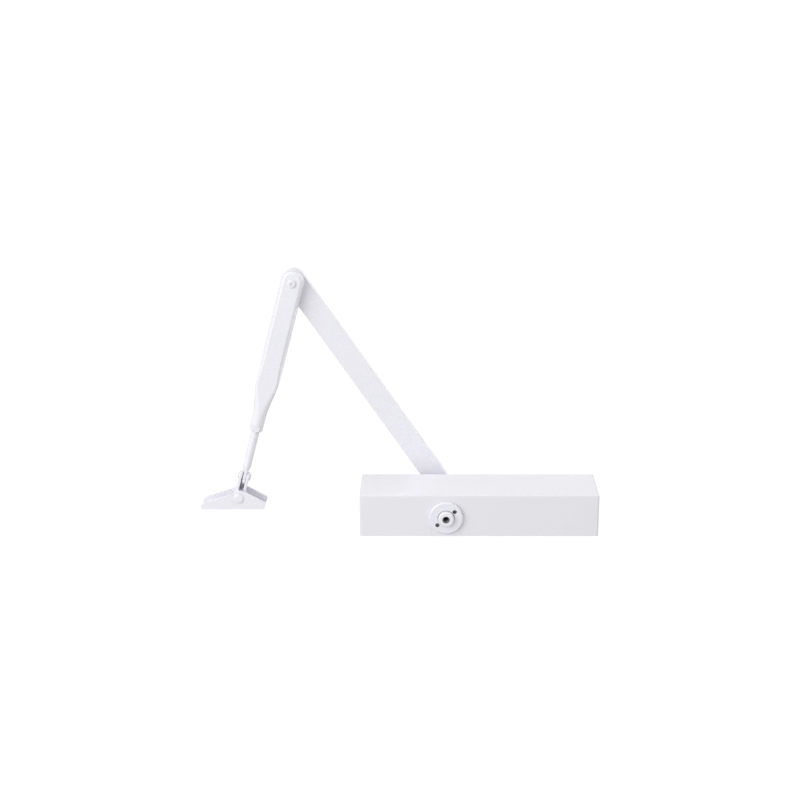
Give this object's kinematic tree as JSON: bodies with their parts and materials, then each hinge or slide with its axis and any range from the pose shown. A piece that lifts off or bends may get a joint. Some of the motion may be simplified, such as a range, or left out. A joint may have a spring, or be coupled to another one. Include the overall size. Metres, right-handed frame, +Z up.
{
  "type": "overhead door closer",
  "caption": "Surface-mounted rack-and-pinion overhead door closer: rectangular cover over a cast body, flat main arm, adjustable forearm and pivoting shoe bracket.",
  "frame": {"origin": "middle of the body's four fixing holes, on the back face that lies on the door", "axes": "+Z up the pinion shaft towards the arm, +Y into the door, +X along the body away from the shaft"},
  "size_m": [0.4094, 0.2591, 0.0975],
  "materials": {
    "white_cover": "gloss white moulding",
    "white_paint": "gloss white powder coat",
    "white_casting": "aluminium die casting under gloss white powder coat",
    "steel": "machined steel",
    "spring_steel": "oiled dark spring steel",
    "zinc": "zinc plated",
    "brass": "turned",
    "rubber": "matte",
    "nylon": "natural nylon"
  },
  "bodies": {
    "closer_body": {"cover": "white_cover", "cover_clips": "spring_steel", "clip_screws": "zinc", "housing": "white_casting", "end_plug_left": "steel", "end_plug_right": "steel", "end_plug_seals": "rubber", "bearing_cap_lower": "white_paint", "bearing_cap_upper": "white_paint", "bearing_cap_gaskets": "rubber", "shaft_seals": "rubber", "bearing_cups": "steel", "adjusting_screw_seal": "rubber", "valve_seals": "rubber", "gallery_plugs": "steel"},
    "main_arm": {"pinion_shaft": "white_paint", "main_arm": "white_paint", "arm_washer": "zinc", "arm_screw": "zinc", "elbow_bush": "zinc", "elbow_screw": "white_paint"},
    "needle_cages": {"needle_cages": "steel"},
    "piston": {"piston": "steel", "check_valve_retainer": "brass", "main_spring": "spring_steel"},
    "check_ball": {"check_valve_ball": "steel"},
    "spring_adjuster": {"adjusting_screw": "steel"},
    "spring_plate": {"spring_plate": "steel"},
    "closing_valve": {"closing_valve": "brass"},
    "latching_valve": {"latching_valve": "brass"},
    "backcheck_valve": {"backcheck_valve": "brass"},
    "forearm": {"forearm": "white_paint", "elbow_washer": "nylon", "neck_insert": "brass", "lock_nut": "white_paint"},
    "rod": {"adjusting_rod": "white_paint"},
    "knuckle": {"knuckle": "white_paint", "cross_pin": "white_paint"},
    "shoe": {"shoe_bracket": "white_paint", "pivot_pin": "white_paint", "pivot_washers": "nylon"}
  },
  "joints": [
    {"name": "shaft_turn", "type": "hinge", "parent": "closer_body", "child": "main_arm", "pos_m": [-0.0333, -0.0206, 0], "axis": [0, 0, 1], "range_deg": [-145, 35]},
    {"name": "cage_roll", "type": "hinge", "parent": "closer_body", "child": "needle_cages", "pos_m": [-0.0333, -0.0206, 0.02], "axis": [0, 0, 1], "range_deg": [-61.2, 14.8]},
    {"name": "piston_slide", "type": "slide", "parent": "closer_body", "child": "piston", "axis": [1, 0, 0], "range_m": [-0.0056, 0.0229], "deforming": ["main_spring"]},
    {"name": "check_ball_lift", "type": "slide", "parent": "piston", "child": "check_ball", "axis": [-1, 0, 0], "range_m": [0, 0.0024]},
    {"name": "spring_adjust", "type": "hinge", "parent": "closer_body", "child": "spring_adjuster", "pos_m": [0.09, -0.0206, 0], "axis": [1, 0, 0], "range_deg": [0, 2170]},
    {"name": "spring_plate_slide", "type": "slide", "parent": "closer_body", "child": "spring_plate", "axis": [-1, 0, 0], "range_m": [0, 0.009], "deforming": ["main_spring"]},
    {"name": "closing_speed", "type": "hinge", "parent": "closer_body", "child": "closing_valve", "pos_m": [-0.097, -0.0356, 0.0145], "axis": [1, 0, 0], "range_deg": [-360, 360]},
    {"name": "latching_speed", "type": "hinge", "parent": "closer_body", "child": "latching_valve", "pos_m": [-0.097, -0.0356, -0.0145], "axis": [1, 0, 0], "range_deg": [-360, 360]},
    {"name": "backcheck", "type": "hinge", "parent": "closer_body", "child": "backcheck_valve", "pos_m": [0.097, -0.0356, -0.0145], "axis": [1, 0, 0], "range_deg": [-360, 360]},
    {"name": "elbow", "type": "hinge", "parent": "main_arm", "child": "forearm", "pos_m": [-0.18703, -0.24681, 0.036], "axis": [0, 0, 1], "range_deg": [-17, 120]},
    {"name": "arm_length", "type": "slide", "parent": "forearm", "child": "rod", "axis": [-0.2622, 0.965, 0], "range_m": [-0.012, 0.02]},
    {"name": "knuckle_tilt", "type": "hinge", "parent": "rod", "child": "knuckle", "pos_m": [-0.2434, -0.03933, 0.0362], "axis": [-0.965, -0.2622, 0], "range_deg": [-8, 8]},
    {"name": "shoe_swivel", "type": "hinge", "parent": "knuckle", "child": "shoe", "pos_m": [-0.24927, -0.01771, 0.0362], "axis": [0, 0, 1], "range_deg": [-59, 90]}
  ],
  "couplings": [
    {"joint": "piston_slide", "follows": "shaft_turn", "m_per_rad": -0.009},
    {"joint": "cage_roll", "follows": "shaft_turn", "ratio": 0.4211},
    {"joint": "spring_adjust", "follows": "spring_plate_slide", "rad_per_m": 4188.8}
  ]
}
